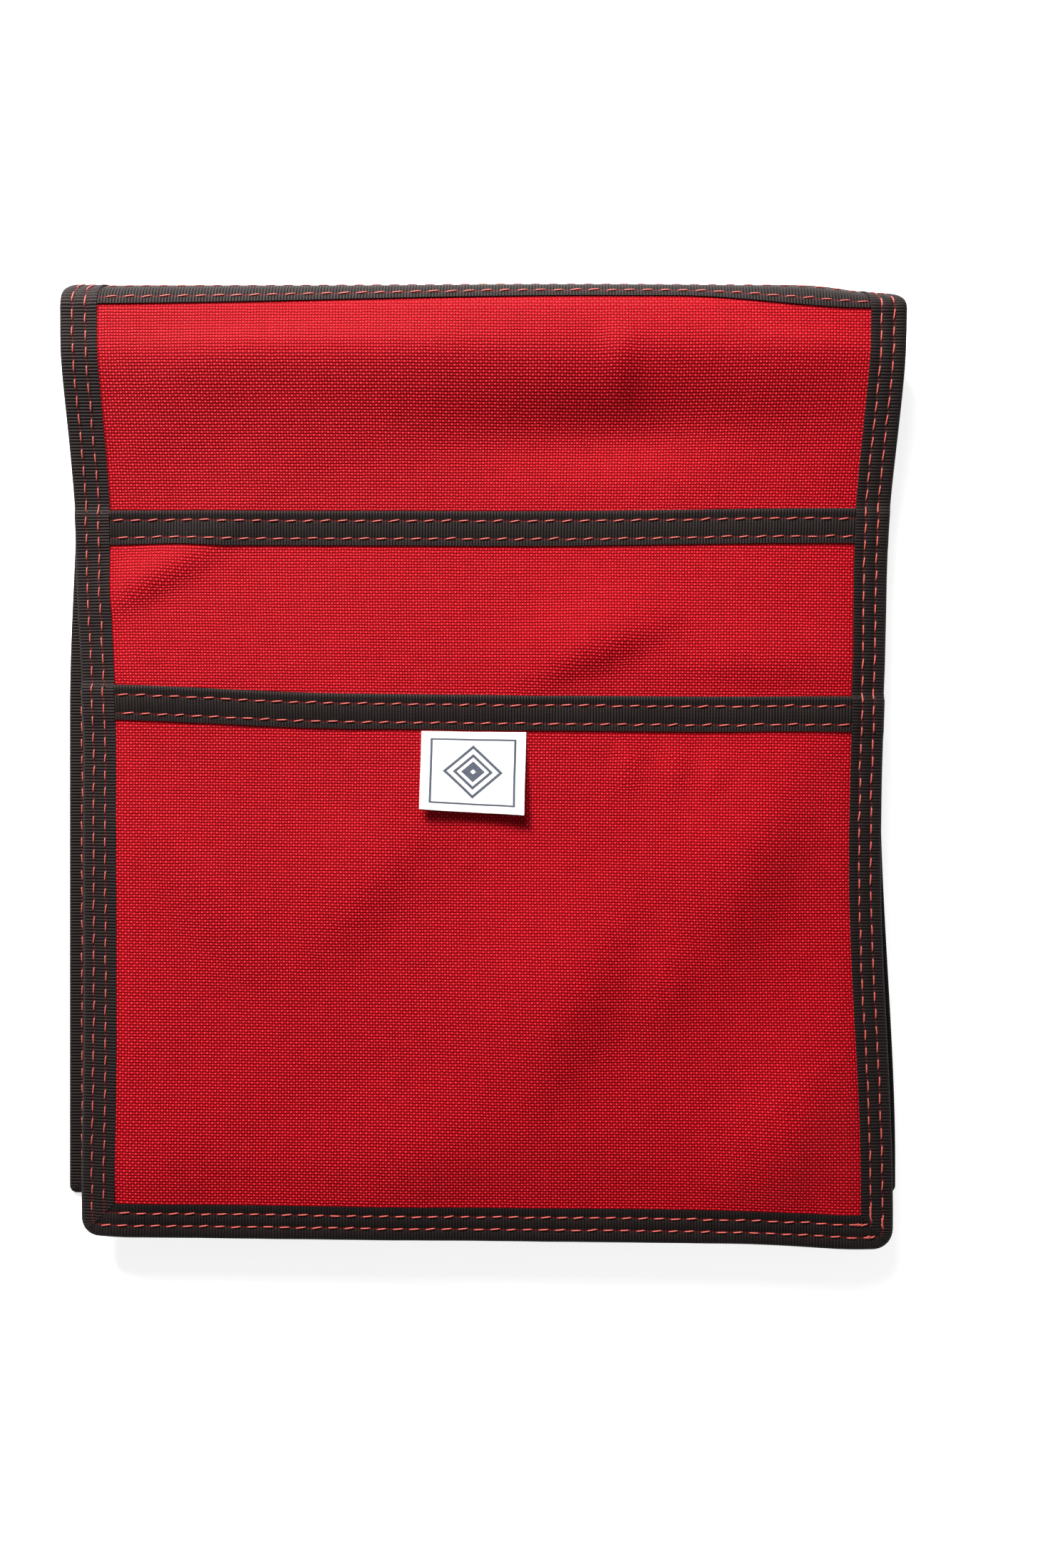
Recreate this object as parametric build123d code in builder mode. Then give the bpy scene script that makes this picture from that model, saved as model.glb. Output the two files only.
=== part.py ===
from build123d import *
from math import cos, inf, radians, sin
import os

# A fire blanket in its soft carrier. One long red sheet is folded over at the top into a back leaf and a
# slightly longer front leaf. The front leaf carries three nested pockets, and the back leaf carries a
# sleeve with the folded glass-fibre blanket in it. Every raw edge is bound with black tape.
# Millimetres. The carrier lies flat: X across it, +Y towards the fold, +Z up, origin below its middle.

# Materials
cloth = 0.6  # coated nylon
tape = 0.4  # binding tape
binding = 12.7  # 25.4 mm tape folded over an edge
webbing = 1.2  # pull tapes
thread_width = 0.8
thread_height = 0.15
gap = 0.3  # between things that move past each other

# Carrier
half_width = 149.0
half_length = 170.8
front_slope = 4.5  # degrees that the front leaf falls from the fold down to the blanket, where it levels out
front_level = 11.9  # height of the front sheet's middle where it lies level
fold_radius = 9.6  # to the middle of the sheet
back_end = -156.2
front_crest_angle = 5.2  # where each leaf starts at the crest, in degrees above the fold's centre
back_crest_angle = 3.6

# Pockets
top_band_angle = 66.0  # the first band lies over the crest of the fold, up to this angle
middle_mouth = 89.5
lower_mouth = 24.5
row_inset = (4.5, 9.0)  # the two rows of stitching on an edge binding
band_row_inset = (3.4, 9.9)

# Sleeve and blanket
blanket_size = 1000.0
folds = 4  # panels across and panels down once it is folded
blanket_thickness = 7.0
fold_rounding = 2.8
blanket_low_end = -150.2
sleeve_mouth = -140.2
sleeve_half_width = 128.0
sleeve_top = 102.8
flange = 7.4
pull_tape_width = 25.0
pull_tape_end = -167.8
pull_tape_offset = 70.0
loop_opening = 1.0

# Label
label_left = -22.8
label_right = 16.1
label_length = 28.6
label_thickness = 0.4

sheet_face = cloth / 2
edge_face = sheet_face + tape
fold_y = half_length - fold_radius - edge_face - 2 * tape - cloth
fold_z = edge_face + fold_radius
inner_edge = half_width - binding
panel_edge = half_width - tape

os.makedirs("parts", exist_ok=True)


def save(piece, name):
    """Labels a finished piece and writes it."""
    piece.part.label = name
    export_step(piece.part, f"parts/{name}.step")


class Leaf:
    """One side of the folded sheet: an arc from the crest to where the leaf turns straight, then a run.

    The run is straight lengths. Each is given by the angle of its outward side, in degrees, and the run
    turns from one to the next at the distances in bends. Offsets are measured outwards from the middle of
    the sheet, and distances along the run.
    """

    def __init__(self, crest_angle, angles, bends=()):
        self.crest_angle = crest_angle
        self.angles = angles
        self.bends = bends
        self.turn = 1 if angles[0] > crest_angle else -1

    def arc_point(self, offset, angle):
        """A point on the fold, as Y and Z."""
        radius = fold_radius + offset
        return (fold_y + radius * cos(radians(angle)), fold_z + radius * sin(radians(angle)))

    def run_point(self, offset, distance):
        """A point on the run, as Y and Z. At a bend the offset is along the line that halves it."""
        y, z = self.arc_point(0, self.angles[0])
        walked = 0.0
        for index, angle in enumerate(self.angles):
            bend = self.bends[index] if index < len(self.bends) else inf
            step = min(distance, bend) - walked
            y -= self.turn * step * sin(radians(angle))
            z += self.turn * step * cos(radians(angle))
            walked += step
            if distance <= bend:
                break
        half_bend = (self.angles[index + 1] - angle) / 2 if distance == bend else 0.0
        outward = radians(angle + half_bend)
        reach = offset / cos(radians(half_bend))
        return (y + reach * cos(outward), z + reach * sin(outward))

    def distance(self, y):
        """How far along the run the leaf reaches a given Y."""
        walked = 0.0
        for index, angle in enumerate(self.angles):
            bend = self.bends[index] if index < len(self.bends) else inf
            to_go = (self.run_point(0, walked)[0] - y) / abs(sin(radians(angle)))
            if walked + to_go <= bend:
                break
            walked = bend
        return walked + to_go

    def arc_face(self, inner, outer, start, end):
        """Draws the section of a layer on the fold, between two angles."""
        middle = (start + end) / 2
        corners = [self.arc_point(offset, angle) for offset in (inner, outer) for angle in (start, end)]
        with BuildLine() as outline:
            ThreePointArc(corners[2], self.arc_point(outer, middle), corners[3])
            Line(corners[3], corners[1])
            ThreePointArc(corners[1], self.arc_point(inner, middle), corners[0])
            Line(corners[0], corners[2])
        make_face(outline.edges())

    def run_face(self, inner, outer, start, end):
        """Draws the section of a layer on the run, between two distances."""
        stations = [start] + [bend for bend in self.bends if start < bend < end] + [end]
        outside = [self.run_point(outer, station) for station in stations]
        inside = [self.run_point(inner, station) for station in reversed(stations)]
        with BuildLine() as outline:
            Polyline(*outside, *inside, close=True)
        make_face(outline.edges())

    def layer(self, inner, outer, end):
        """Draws a layer that starts at the crest and runs to a distance."""
        self.arc_face(inner, outer, self.crest_angle, self.angles[0])
        self.run_face(inner, outer, 0, end)

    def stitch_row(self, level, distance):
        """Draws the section of a row of stitches that runs across the leaf, on the face at a level."""
        half = thread_width / 2
        self.run_face(level, level + thread_height, distance - half, distance + half)


back = Leaf(back_crest_angle, (-90.0,))
front_top = Leaf(front_crest_angle, (90.0 + front_slope,)).run_point(0, 0)[1]
level_start = (front_top - front_level) / sin(radians(front_slope))
front = Leaf(front_crest_angle, (90.0 + front_slope, 90.0), (level_start,))
back_length = back.distance(back_end)
front_length = front.distance(-half_length)
mouths = {"middle": front.distance(middle_mouth), "lower": front.distance(lower_mouth)}


def pocket_levels(pocket):
    """Offsets of a pocket's band and panel: the four faces from the band's inner wall outwards."""
    low = sheet_face + pocket * (tape + cloth)
    return low, low + tape, low + tape + cloth, low + 2 * tape + cloth


# The front edge bindings step outwards where each pocket adds its layers.
front_steps = [
    (0.0, mouths["middle"], pocket_levels(0)[3]),
    (mouths["middle"], mouths["lower"], pocket_levels(1)[3]),
    (mouths["lower"], front_length, pocket_levels(2)[3]),
]

# ---- Back leaf ----

with BuildPart() as back_panel:
    with BuildSketch(Plane.YZ):
        back.layer(-sheet_face, sheet_face, back_length - tape)
    extrude(amount=panel_edge, both=True)
save(back_panel, "back_panel")

for side, name in ((-1, "back_left_binding"), (1, "back_right_binding")):
    with BuildPart() as edge:
        with BuildSketch(Plane.YZ.offset(side * panel_edge)):
            back.layer(-edge_face, edge_face, back_length)
        extrude(amount=side * tape)
        with BuildSketch(Plane.YZ.offset(side * inner_edge)):
            back.layer(-edge_face, -sheet_face, back_length)
            back.layer(sheet_face, edge_face, back_length)
        extrude(amount=side * (binding - tape))
    save(edge, name)

with BuildPart() as back_bottom_binding:
    with BuildSketch(Plane.YZ):
        back.run_face(-edge_face, -sheet_face, back_length - binding, back_length)
        back.run_face(sheet_face, edge_face, back_length - binding, back_length)
        back.run_face(-edge_face, edge_face, back_length - tape, back_length)
    extrude(amount=inner_edge, both=True)
save(back_bottom_binding, "back_bottom_binding")

with BuildPart() as back_binding_stitches:
    for inset in row_inset:
        for side in (-1, 1):
            with BuildSketch(Plane.YZ.offset(side * (half_width - inset))):
                back.layer(-edge_face - thread_height, -edge_face, back_length - inset)
            extrude(amount=thread_width / 2, both=True)
        with BuildSketch(Plane.YZ):
            back.stitch_row(-edge_face - thread_height, back_length - inset)
        extrude(amount=half_width - inset, both=True)
save(back_binding_stitches, "back_binding_stitches")

# ---- Sleeve for the blanket, sewn on the back leaf's inner face ----

cloth_top = fold_z - fold_radius + sheet_face
blanket_bottom = cloth_top + tape + gap
blanket_top = blanket_bottom + blanket_thickness
roof_bottom = blanket_top + gap + tape
roof_top = roof_bottom + cloth
wall_outside = sleeve_half_width + cloth

sleeve_length = sleeve_top - sleeve_mouth
from_low_end = (Align.CENTER, Align.MIN)

with BuildPart() as sleeve_gusset:
    with BuildSketch(Plane.XY.offset(cloth_top)):
        with Locations((0, sleeve_mouth)):
            Rectangle(2 * (wall_outside + flange), sleeve_length + cloth + flange, align=from_low_end)
            Rectangle(2 * sleeve_half_width, sleeve_length, align=from_low_end, mode=Mode.SUBTRACT)
    extrude(amount=cloth)
    with BuildSketch(Plane.XY.offset(cloth_top + cloth)):
        with Locations((0, sleeve_mouth)):
            Rectangle(2 * wall_outside, sleeve_length + cloth, align=from_low_end)
            Rectangle(2 * sleeve_half_width, sleeve_length, align=from_low_end, mode=Mode.SUBTRACT)
    extrude(amount=roof_bottom - cloth_top - cloth)
save(sleeve_gusset, "sleeve_gusset")

with BuildPart() as sleeve_roof:
    with BuildSketch(Plane.XY.offset(roof_bottom)):
        with Locations((0, sleeve_mouth + tape)):
            Rectangle(2 * wall_outside, sleeve_length + cloth - tape, align=from_low_end)
    extrude(amount=cloth)
save(sleeve_roof, "sleeve_roof")

with BuildPart() as sleeve_mouth_binding:
    with BuildSketch(Plane.YZ):
        with BuildLine():
            Polyline(
                (sleeve_mouth, roof_bottom - tape),
                (sleeve_mouth + binding, roof_bottom - tape),
                (sleeve_mouth + binding, roof_bottom),
                (sleeve_mouth + tape, roof_bottom),
                (sleeve_mouth + tape, roof_top),
                (sleeve_mouth + binding, roof_top),
                (sleeve_mouth + binding, roof_top + tape),
                (sleeve_mouth, roof_top + tape),
                close=True,
            )
        make_face()
    extrude(amount=sleeve_half_width - gap, both=True)
save(sleeve_mouth_binding, "sleeve_mouth_binding")

with BuildPart() as sleeve_stitches:
    with BuildSketch(Plane.XY.offset(cloth_top + cloth)):
        seam = wall_outside + flange / 2
        seam_length = sleeve_length + cloth + flange / 2
        for side in (-1, 1):
            with Locations((side * seam, sleeve_mouth)):
                Rectangle(thread_width, seam_length, align=from_low_end)
        with Locations((0, sleeve_mouth + seam_length)):
            Rectangle(2 * seam + thread_width, thread_width)
    extrude(amount=thread_height)
    with BuildSketch(Plane.XY.offset(roof_top + tape)):
        for inset in band_row_inset:
            with Locations((0, sleeve_mouth + inset)):
                Rectangle(2 * (sleeve_half_width - gap), thread_width)
    extrude(amount=thread_height)
save(sleeve_stitches, "sleeve_stitches")

# ---- Front leaf ----

with BuildPart() as front_panel:
    with BuildSketch(Plane.YZ):
        front.layer(-sheet_face, sheet_face, front_length - tape)
    extrude(amount=panel_edge, both=True)
save(front_panel, "front_panel")

band_wall_angle = 2.0  # the tape's own thickness, seen along the fold
low, panel_low, panel_high, high = pocket_levels(0)
with BuildPart() as deep_pocket_panel:
    with BuildSketch(Plane.YZ):
        front.arc_face(panel_low, panel_high, front_crest_angle + band_wall_angle, front.angles[0])
        front.run_face(panel_low, panel_high, 0, front_length - tape)
    extrude(amount=panel_edge, both=True)
save(deep_pocket_panel, "deep_pocket_panel")

with BuildPart() as deep_pocket_band:
    with BuildSketch(Plane.YZ):
        front.arc_face(low, panel_low, front_crest_angle, top_band_angle)
        front.arc_face(panel_high, high, front_crest_angle, top_band_angle)
        front.arc_face(low, high, front_crest_angle, front_crest_angle + band_wall_angle)
    extrude(amount=panel_edge, both=True)
save(deep_pocket_band, "deep_pocket_band")

for pocket, (mouth, name) in enumerate((("middle", "middle_pocket"), ("lower", "short_pocket")), start=1):
    start = mouths[mouth]
    low, panel_low, panel_high, high = pocket_levels(pocket)
    with BuildPart() as panel:
        with BuildSketch(Plane.YZ):
            front.run_face(panel_low, panel_high, start + tape, front_length - tape)
        extrude(amount=panel_edge, both=True)
    save(panel, f"{name}_panel")
    with BuildPart() as band:
        with BuildSketch(Plane.YZ):
            front.run_face(low, panel_low, start, start + binding)
            front.run_face(panel_high, high, start, start + binding)
            front.run_face(low, high, start, start + tape)
        extrude(amount=panel_edge, both=True)
    save(band, f"{name}_band")

fold_level = front_steps[0][2]
low_level = front_steps[-1][2]
for side, name in ((-1, "front_left_binding"), (1, "front_right_binding")):
    with BuildPart() as edge:
        with BuildSketch(Plane.YZ.offset(side * panel_edge)):
            front.arc_face(-edge_face, fold_level + tape, front_crest_angle, front.angles[0])
            for start, end, level in front_steps:
                front.run_face(-edge_face, level + tape, start, end)
        extrude(amount=side * tape)
        with BuildSketch(Plane.YZ.offset(side * inner_edge)):
            front.layer(-edge_face, -sheet_face, front_length)
            front.arc_face(fold_level, fold_level + tape, front_crest_angle, front.angles[0])
            for start, end, level in front_steps:
                front.run_face(level, level + tape, start, end)
        extrude(amount=side * (binding - tape))
    save(edge, name)

with BuildPart() as front_bottom_binding:
    with BuildSketch(Plane.YZ):
        front.run_face(-edge_face, -sheet_face, front_length - binding, front_length)
        front.run_face(low_level, low_level + tape, front_length - binding, front_length)
        front.run_face(-edge_face, low_level + tape, front_length - tape, front_length)
    extrude(amount=inner_edge, both=True)
save(front_bottom_binding, "front_bottom_binding")

with BuildPart() as front_binding_stitches:
    for inset in row_inset:
        for side in (-1, 1):
            with BuildSketch(Plane.YZ.offset(side * (half_width - inset))):
                face = fold_level + tape
                front.arc_face(face, face + thread_height, front_crest_angle, front.angles[0])
                for start, end, level in front_steps:
                    face = level + tape
                    front.run_face(face, face + thread_height, start, min(end, front_length - inset))
            extrude(amount=thread_width / 2, both=True)
        with BuildSketch(Plane.YZ):
            front.stitch_row(low_level + tape, front_length - inset)
        extrude(amount=half_width - inset, both=True)
save(front_binding_stitches, "front_binding_stitches")

with BuildPart() as band_stitches:
    for inset in band_row_inset:
        with BuildSketch(Plane.YZ):
            level = pocket_levels(0)[3]
            angle = front_crest_angle + (top_band_angle - front_crest_angle) * inset / binding
            half_angle = (top_band_angle - front_crest_angle) * thread_width / binding / 2
            front.arc_face(level, level + thread_height, angle - half_angle, angle + half_angle)
            for pocket, start in enumerate(mouths.values(), start=1):
                front.stitch_row(pocket_levels(pocket)[3], start + inset)
        extrude(amount=inner_edge, both=True)
save(band_stitches, "band_stitches")

# ---- Label, hanging from under the lower band ----

with BuildPart() as label:
    with BuildSketch(Plane.YZ.offset(label_left)):
        face = pocket_levels(2)[2] + gap
        top = mouths["lower"] + binding + gap
        front.run_face(face, face + label_thickness, top, top + label_length)
    extrude(amount=label_right - label_left)
save(label, "label")

# ---- Blanket, folded and stowed in the sleeve ----

folded = blanket_size / folds
with BuildPart() as folded_blanket:
    with BuildSketch(Plane.XY.offset(blanket_bottom)):
        with Locations((0, blanket_low_end)):
            Rectangle(folded, folded, align=from_low_end)
    extrude(amount=blanket_thickness)
    fillet(folded_blanket.edges().filter_by(Axis.X), radius=fold_rounding)
save(folded_blanket, "folded_blanket")

pull_tape_length = blanket_low_end - pull_tape_end
loop_height = 2 * webbing + loop_opening
from_tape_end = (Align.MIN, Align.CENTER)
for side, name in ((-1, "left_pull_tape"), (1, "right_pull_tape")):
    with BuildPart() as pull_tape:
        with BuildSketch(Plane.YZ.offset(side * pull_tape_offset)):
            with Locations((pull_tape_end, blanket_bottom + loop_height / 2)):
                Rectangle(pull_tape_length, loop_height, align=from_tape_end)
                with Locations((webbing, 0)):
                    Rectangle(pull_tape_length, loop_opening, align=from_tape_end, mode=Mode.SUBTRACT)
        extrude(amount=pull_tape_width / 2, both=True)
    save(pull_tape, name)
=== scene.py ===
import math
import random

import bpy
import numpy as np
from bpy.props import FloatProperty, FloatVectorProperty, PointerProperty
from bpy.types import Operator, Panel, PropertyGroup
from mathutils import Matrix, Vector


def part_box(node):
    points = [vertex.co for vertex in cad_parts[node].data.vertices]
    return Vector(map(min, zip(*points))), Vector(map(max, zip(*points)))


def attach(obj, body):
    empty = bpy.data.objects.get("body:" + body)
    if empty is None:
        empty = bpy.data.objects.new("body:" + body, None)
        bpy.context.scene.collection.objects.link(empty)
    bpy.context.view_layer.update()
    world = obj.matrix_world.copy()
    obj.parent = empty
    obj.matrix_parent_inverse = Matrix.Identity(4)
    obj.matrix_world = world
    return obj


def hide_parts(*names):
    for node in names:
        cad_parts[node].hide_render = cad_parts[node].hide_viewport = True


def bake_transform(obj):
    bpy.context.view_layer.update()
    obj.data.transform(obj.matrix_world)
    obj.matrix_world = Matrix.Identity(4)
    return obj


bl_info = {
    "name": "Fire blanket carrier",
    "version": (1, 0, 0),
    "blender": (4, 5, 0),
    "location": "View3D > Sidebar > Blanket",
    "description": "Sews the folded cloth carrier, its pockets, tapes and label, and stows the blanket in it",
    "category": "Object",
}

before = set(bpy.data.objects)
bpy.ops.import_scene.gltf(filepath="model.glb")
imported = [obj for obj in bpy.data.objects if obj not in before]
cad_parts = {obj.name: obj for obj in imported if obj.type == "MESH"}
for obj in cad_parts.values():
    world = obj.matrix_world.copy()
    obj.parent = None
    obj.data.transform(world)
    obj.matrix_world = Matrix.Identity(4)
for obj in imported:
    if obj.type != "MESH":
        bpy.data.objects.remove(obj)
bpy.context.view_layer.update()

BODY_BACK = "back_leaf"
BODY_FRONT = "front_leaf"

# Where the frame puts the carrier. The sheet is measured along itself: s is 0 at the crest of
# the fold, positive down the front leaf and negative down the back leaf. x runs across it.

HALF_WIDTH = -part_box("front_left_binding")[0][0]
FRONT_LOW_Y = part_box("front_bottom_binding")[0][1]
BACK_LOW_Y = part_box("back_bottom_binding")[0][1]
FOLD_OUTSIDE = (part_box("front_panel")[1][2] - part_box("back_panel")[0][2]) / 2
FOLD_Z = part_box("back_panel")[0][2] + FOLD_OUTSIDE
FOLD_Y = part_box("back_panel")[1][1] - FOLD_OUTSIDE
CLOTH = 0.0006
TAPE = 0.0004
LAP = 0.0123
SIDE_LAPS = (0.0130, 0.0127)
SLACK = 0.00002
TAPE_LEVEL = CLOTH / 2 + TAPE / 2 + SLACK
THREAD_SINK = 0.00013
SEWN = TAPE / 2 - THREAD_SINK
CORNER_RADII = {"front left": 0.0065, "front right": 0.0074, "back": 0.0022}
FOLD_RADIUS = FOLD_OUTSIDE - CLOTH / 2
QUARTER = FOLD_RADIUS * math.pi / 2
FRONT_END = QUARTER + FOLD_Y - FRONT_LOW_Y
BACK_END = -(QUARTER + FOLD_Y - BACK_LOW_Y)
BLANKET_LOW_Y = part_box("folded_blanket")[0][1]
LEVEL_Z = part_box("front_panel")[0][2] + CLOTH / 2
TOP_Z = FOLD_Z + FOLD_RADIUS
SEAM_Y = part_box("sleeve_gusset")[1][1] - 0.004
BACK_SEAM = -(QUARTER + FOLD_Y - SEAM_Y)

# The three pocket mouths, as distances along the sheet.
MOUTHS = [
    FOLD_RADIUS * math.radians(5.2),
    QUARTER + FOLD_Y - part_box("middle_pocket_band")[1][1],
    QUARTER + FOLD_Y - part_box("short_pocket_band")[1][1],
]
EDGE_ROWS = (0.0045, 0.0090)
BAND_ROWS = (0.0034, 0.0099)


def ease(t):
    """Rises smoothly from 0 to 1 as t goes from 0 to 1."""
    t = np.clip(t, 0.0, 1.0)
    return t * t * (3 - 2 * t)


# ---- The shape of the lying cloth ----

# The front leaf: the run over which it comes down from the fold, its swell over the blanket and the loss of
# it, how much it sinks past the blanket's low end, how much its sides droop, and its ripples.
DESCENT = 0.078
SWELL, SWELL_LOSS = 0.0005, 0.0004
LOW_SINK = 0.0012
SIDE_DROOP = 0.0038
BROAD_RIPPLE, FINE_RIPPLE = 0.00022, 0.00005

# Its soft folds: centre x and y, the direction of the ridge in degrees, its half length, how wide its gentle
# side and its steep side are, and its height. The steep side is to the right of the direction.
FOLD_LIFT = 1.45
SOFT_FOLDS = (
    (-0.055, 0.149, 4.5, 0.095, 0.014, 0.019, 0.0019),
    (0.098, 0.151, -11.5, 0.048, 0.009, 0.020, 0.0016),
    (0.048, 0.144, -85, 0.014, 0.006, 0.005, 0.0010),
    (0.043, 0.117, 2, 0.055, 0.014, 0.014, -0.0024),
    (0.040, 0.041, 24, 0.026, 0.018, 0.0068, 0.0017),
    (-0.115, 0.067, 30, 0.022, 0.009, 0.005, 0.0013),
    (0.082, 0.050, 80, 0.040, 0.040, 0.030, 0.0010),
    (0.100, 0.036, 0, 0.030, 0.012, 0.007, 0.0008),
    (-0.043, -0.044, 51, 0.032, 0.025, 0.012, 0.0013),
    (-0.094, -0.051, -55, 0.034, 0.014, 0.010, 0.0009),
    (0.029, -0.086, 65, 0.040, 0.034, 0.016, 0.0026),
    (0.064, -0.080, 75, 0.018, 0.010, 0.009, 0.0010),
    (0.092, -0.036, 67, 0.042, 0.028, 0.016, 0.0028),
    (0.108, -0.132, 79, 0.030, 0.020, 0.013, 0.0017),
    (-0.020, -0.140, 40, 0.040, 0.020, 0.014, 0.0006),
    (0.051, -0.003, 75, 0.008, 0.005, 0.004, 0.0005),
    (0.067, -0.004, 80, 0.009, 0.005, 0.004, 0.0005),
    (0.082, -0.005, 84, 0.008, 0.005, 0.004, 0.0004),
)


def soft_folds(x, y):
    """How far the front leaf's folds lift it."""
    height = np.zeros_like(x)
    for centre_x, centre_y, degrees, long, gentle, steep, lift in SOFT_FOLDS:
        angle = math.radians(degrees)
        along = (x - centre_x) * math.cos(angle) + (y - centre_y) * math.sin(angle)
        across = (x - centre_x) * math.sin(angle) - (y - centre_y) * math.cos(angle)
        wide = np.where(across > 0, steep, gentle)
        height += FOLD_LIFT * lift * np.exp(-((along / long) ** 2) - (across / wide) ** 2)
    broad = np.sin(x * 61 + 3 * np.sin(y * 23)) * np.sin(y * 47 + 2 * np.sin(x * 31))
    small = np.sin(x * 210 + 2 * np.sin(y * 90)) * np.sin(y * 170 + 2 * np.sin(x * 120))
    return height + BROAD_RIPPLE * broad + FINE_RIPPLE * small


def front_height(x, y):
    """Height of the middle of the front leaf's base cloth.

    It comes down from the fold, swells a little over the blanket, sinks past the blanket's low end and droops
    along both sides.
    """
    run = FOLD_Y - y
    past_blanket = BLANKET_LOW_Y - y
    margin = np.abs(x) - 0.124
    z = TOP_Z + (LEVEL_Z - 0.0001 - TOP_Z) * ease(run / DESCENT)
    z = z + SWELL * ease((run - 0.074) / 0.055) - SWELL_LOSS * ease((run - 0.150) / 0.120)
    z = z - LOW_SINK * ease((past_blanket + 0.022) / 0.042)
    z = z - SIDE_DROOP * ease(margin / 0.030) * ease((run - 0.040) / 0.090)
    return z + soft_folds(x, y) * ease((run + 0.003) / 0.020)


def left_edge(s):
    """Distance from the middle line to the left edge."""
    run = np.abs(s) - QUARTER
    front = 0.1484 - 0.0029 * ease(run / 0.085) - 0.0030 * ease((run - 0.080) / 0.080)
    front = front + 0.0012 * ease((run - 0.255) / 0.070)
    back = 0.1480 + 0.0027 * ease((run - 0.050) / 0.090)
    return np.where(s > 0, front, back)


def right_edge(s):
    """Distance from the middle line to the right edge."""
    run = np.abs(s) - QUARTER
    front = 0.1490 - 0.0048 * ease(run / 0.095) - 0.0025 * ease((run - 0.080) / 0.110)
    front = front + 0.0050 * ease((run - 0.190) / 0.135)
    back = 0.1484 - 0.0042 * ease(run / 0.060) + 0.0054 * ease((run - 0.165) / 0.140)
    return np.where(s > 0, front, back)


def fold_inset(share, s):
    """How far the sheet's sides draw in where they go round the fold."""
    radius = np.where(share > 0, 0.0080, 0.0050)
    below = FOLD_OUTSIDE * (1 - np.cos(np.clip(s / FOLD_RADIUS, -math.pi / 2, math.pi / 2)))
    short = np.clip(radius - below, 0.0, None)
    return (radius - np.sqrt(radius**2 - short**2)) * ease((np.abs(share) - 0.80) / 0.20) * np.sign(share)


def round_off(side, end, radius):
    """Brings points near a square corner onto a round one, given their distances from its two edges."""
    in_side = np.clip(radius - side, 0.0, None)
    in_end = np.clip(radius - end, 0.0, None)
    both = (in_side > 0) & (in_end > 0)
    pull = np.where(both, np.maximum(in_side, in_end) / np.maximum(np.hypot(in_side, in_end), 1e-9), 1.0)
    side = np.where(in_side > 0, radius - in_side * pull, side)
    return side, np.where(in_end > 0, radius - in_end * pull, end)


def round_corners(x, s):
    """Moves the points in the four low corners of the sheet onto rounded corners."""
    front = np.where(x < 0, CORNER_RADII["front left"], CORNER_RADII["front right"])
    radius = np.where(s > 0, front, CORNER_RADII["back"])
    side, end = round_off(HALF_WIDTH - np.abs(x), np.where(s > 0, FRONT_END - s, s - BACK_END), radius)
    return np.sign(x) * (HALF_WIDTH - side), np.where(s > 0, FRONT_END - end, BACK_END + end)


def lie(x, s):
    """The middle of the base cloth, as an array of points."""
    x, s = round_corners(x, s)
    share = x / HALF_WIDTH
    left, right = left_edge(s), right_edge(s)
    place_x = (right - left) / 2 + share * (right + left) / 2 - fold_inset(share, s)
    turn = np.clip(s / FOLD_RADIUS, -math.pi / 2, math.pi / 2)
    run = np.clip(np.abs(s) - QUARTER, 0.0, None)
    corner = 0.0036 * ease((share - 0.74) / 0.28) - 0.0005 * np.exp(-(((share - 0.2) / 0.4) ** 2))
    place_y = FOLD_Y + (FOLD_RADIUS - corner) * np.cos(turn) - run
    drop = 0.0015 * share + 0.0022 * ease((share - 0.62) / 0.38) * ease((run - 0.255) / 0.075)
    place_y = place_y - np.where(s > 0, drop * ease(run / 0.20), 0.0)
    fold_z = FOLD_Z + FOLD_RADIUS * np.sin(turn)
    place_z = np.where((s > 0) & (run > 0), front_height(place_x, place_y), fold_z)
    return np.stack([place_x, place_y, place_z], axis=-1)


def carrier(x, s, level):
    """Points of the folded carrier, a distance outwards from the middle of its base cloth."""
    x, s, level = np.broadcast_arrays(np.asarray(x, float), s, level)
    step = 0.0004
    inside = np.clip(x, -HALF_WIDTH + step, HALF_WIDTH - step)
    reach = np.clip(s, BACK_END + step, FRONT_END - step)
    across = lie(inside + step, reach) - lie(inside - step, reach)
    along = lie(inside, reach + step) - lie(inside, reach - step)
    outward = np.cross(along, across)
    outward /= np.linalg.norm(outward, axis=-1, keepdims=True)
    return lie(x, s) + outward * level[..., None]


def layer_level(pocket, x, s):
    """Level of the middle of a pocket's panel. The layers close up towards the edges."""
    from_end = ease((FRONT_END - s) / 0.030)
    from_side = 0.45 + 0.55 * ease((HALF_WIDTH - np.abs(x)) / 0.030)
    return pocket * (0.00068 + 0.00036 * from_end * from_side)


def mouth_line(pocket, x):
    """Distance along the sheet of a pocket's mouth. The two lower mouths sag or rise a little."""
    share = x / HALF_WIDTH
    sag = (
        -0.0021 + 0.0026 * ease((-share + 0.25) / 1.2) + 0.0039 * ease((share - 0.45) / 0.45),
        -0.0016 * ease((share - 0.1) / 0.9),
        0.0006 - 0.0028 * ease((-share - 0.30) / 0.70) - 0.0006 * ease((share - 0.5) / 0.5),
    )
    return MOUTHS[pocket - 1] + sag[pocket - 1]


def band_reach(pocket, reach):
    """How far a reach from a mouth comes along the middle of the sheet: less on the outside of the fold."""
    return reach * (FOLD_RADIUS / FOLD_OUTSIDE if pocket == 1 else 1.0)


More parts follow.
